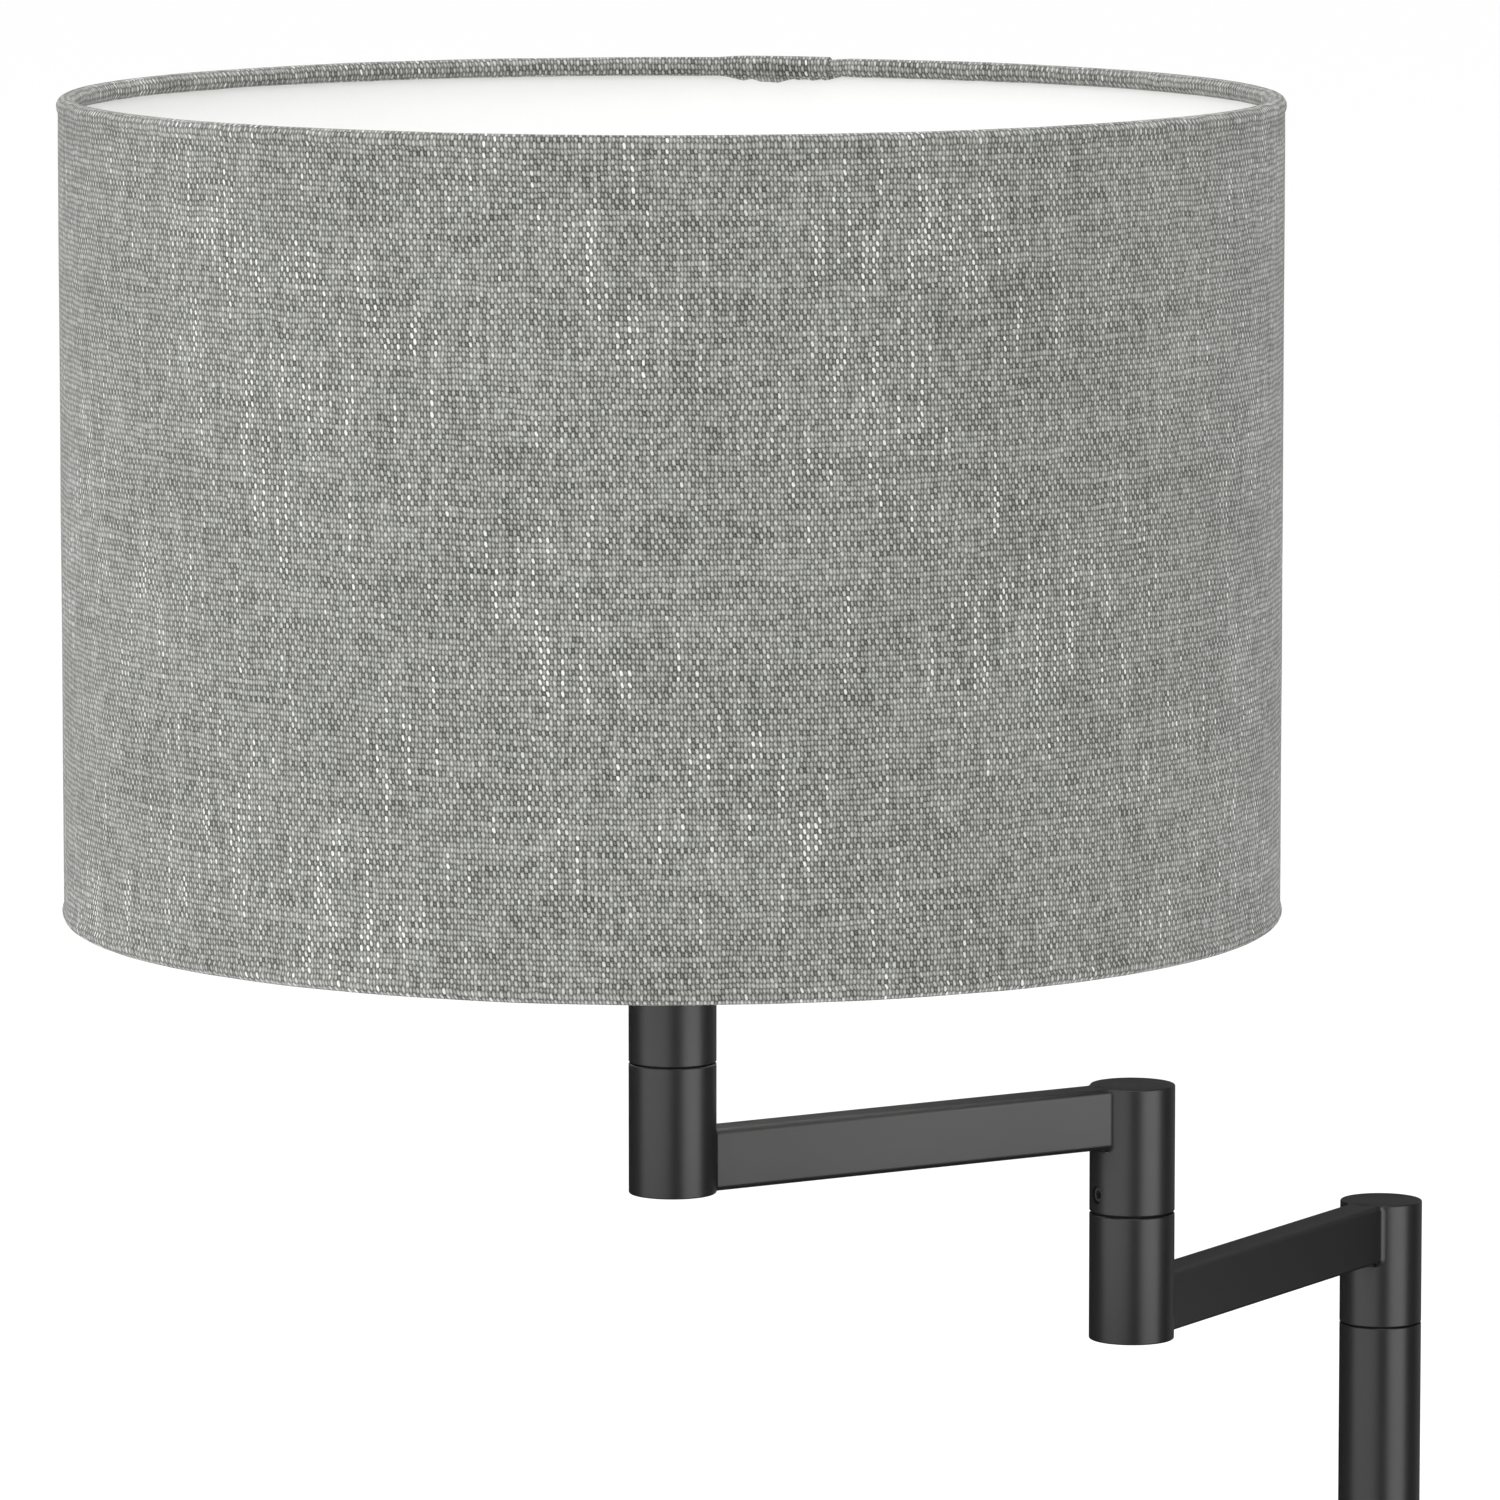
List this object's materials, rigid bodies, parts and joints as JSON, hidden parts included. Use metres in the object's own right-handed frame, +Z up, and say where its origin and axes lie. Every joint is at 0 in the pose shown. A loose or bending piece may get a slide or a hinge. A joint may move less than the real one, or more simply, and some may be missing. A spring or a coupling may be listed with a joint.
{
  "type": "swing arm desk lamp",
  "caption": "Desk lamp with a weighted round base, a tube post, two level swing arms on stacked tube knuckles and a linen drum shade.",
  "frame": {"origin": "centre of the base's underside, on the post's axis, on the surface the lamp stands on", "axes": "+Z up along the post; +X to the right and -Y towards a person facing the lamp, whose shade is swung forward and to the left"},
  "size_m": [0.5031, 0.5094, 0.7018],
  "materials": {
    "powder_coat": "matte near-black powder coat",
    "base_coat": "matte near-black powder coat",
    "linen": "plain-weave grey linen",
    "liner": "white shade liner",
    "wire_steel": "white-painted steel wire",
    "plain_steel": "zinc-plated steel",
    "black_steel": "black-oxide steel",
    "cast_iron": "rough cast iron",
    "brass": "turned brass",
    "felt": "black felt",
    "washer": "black acetal",
    "holder_plastic": "black thermoplastic",
    "ceramic": "white insulating body",
    "lead_sheath": "white PVC sheath",
    "bulb_white": "white plastic housing",
    "bulb_diffuser": "opal plastic diffuser",
    "led_board": "white circuit board"
  },
  "bodies": {
    "stand": {"felt_pad": "felt", "base_plate": "plain_steel", "base_weight": "cast_iron", "base_cover": "base_coat", "plate_screws": "plain_steel", "base_nut": "plain_steel", "base_washer": "plain_steel", "base_nipple": "plain_steel", "cord_gland": "holder_plastic", "terminal_block": "ceramic", "post_tube": "powder_coat", "post_foot_plug": "plain_steel", "post_spigot": "brass", "post_lead": "lead_sheath"},
    "lower_arm": {"lower_arm_washer": "washer", "lower_arm_bush": "brass", "lower_arm_inner_knuckle": "powder_coat", "lower_arm_top_cap": "powder_coat", "lower_arm_set_screw": "black_steel", "lower_arm_bar": "powder_coat", "lower_arm_outer_knuckle": "powder_coat", "lower_arm_bottom_cap": "powder_coat", "lower_arm_lead": "lead_sheath", "elbow_spigot": "brass"},
    "upper_arm": {"upper_arm_washer": "washer", "upper_arm_bush": "brass", "upper_arm_inner_knuckle": "powder_coat", "upper_arm_top_cap": "powder_coat", "upper_arm_set_screw": "black_steel", "upper_arm_bar": "powder_coat", "upper_arm_outer_knuckle": "powder_coat", "upper_arm_bottom_cap": "powder_coat", "upper_arm_lead": "lead_sheath", "head_spigot": "brass"},
    "head": {"head_washer": "washer", "head_bush": "brass", "stem_tube": "powder_coat", "head_set_screw": "black_steel", "stem_plug": "plain_steel", "stem_lead": "lead_sheath", "holder_nipple": "plain_steel", "holder_cap": "holder_plastic", "holder_skirt": "holder_plastic", "holder_insulator": "ceramic", "holder_screw_shell": "brass", "holder_contact": "brass", "shade_ring_lower": "holder_plastic", "shade_ring_upper": "holder_plastic", "shade_spider": "wire_steel", "shade_bottom_wire": "wire_steel", "shade_top_wire": "wire_steel", "shade_liner": "liner", "shade_linen": "linen", "bulb_cap": "plain_steel", "bulb_contact": "brass", "bulb_housing": "bulb_white", "bulb_led_board": "led_board", "bulb_dome": "bulb_diffuser"},
    "switch": {"switch_shaft": "brass", "switch_knob": "holder_plastic"}
  },
  "joints": [
    {"name": "post_swivel", "type": "hinge", "parent": "stand", "child": "lower_arm", "pos_m": [0, 0, 0.306], "axis": [0, 0, 1], "range_deg": [-120, 180]},
    {"name": "elbow_swivel", "type": "hinge", "parent": "lower_arm", "child": "upper_arm", "pos_m": [-0.08241, -0.13715, 0.3644], "axis": [0, 0, 1], "range_deg": [-128, 180]},
    {"name": "head_swivel", "type": "hinge", "parent": "upper_arm", "child": "head", "pos_m": [-0.21809, -0.22193, 0.4228], "axis": [0, 0, 1], "range_deg": [-155, 155]},
    {"name": "switch_turn", "type": "hinge", "parent": "head", "child": "switch", "pos_m": [-0.21809, -0.24593, 0.48712], "axis": [0, -1, 0], "continuous": true}
  ]
}
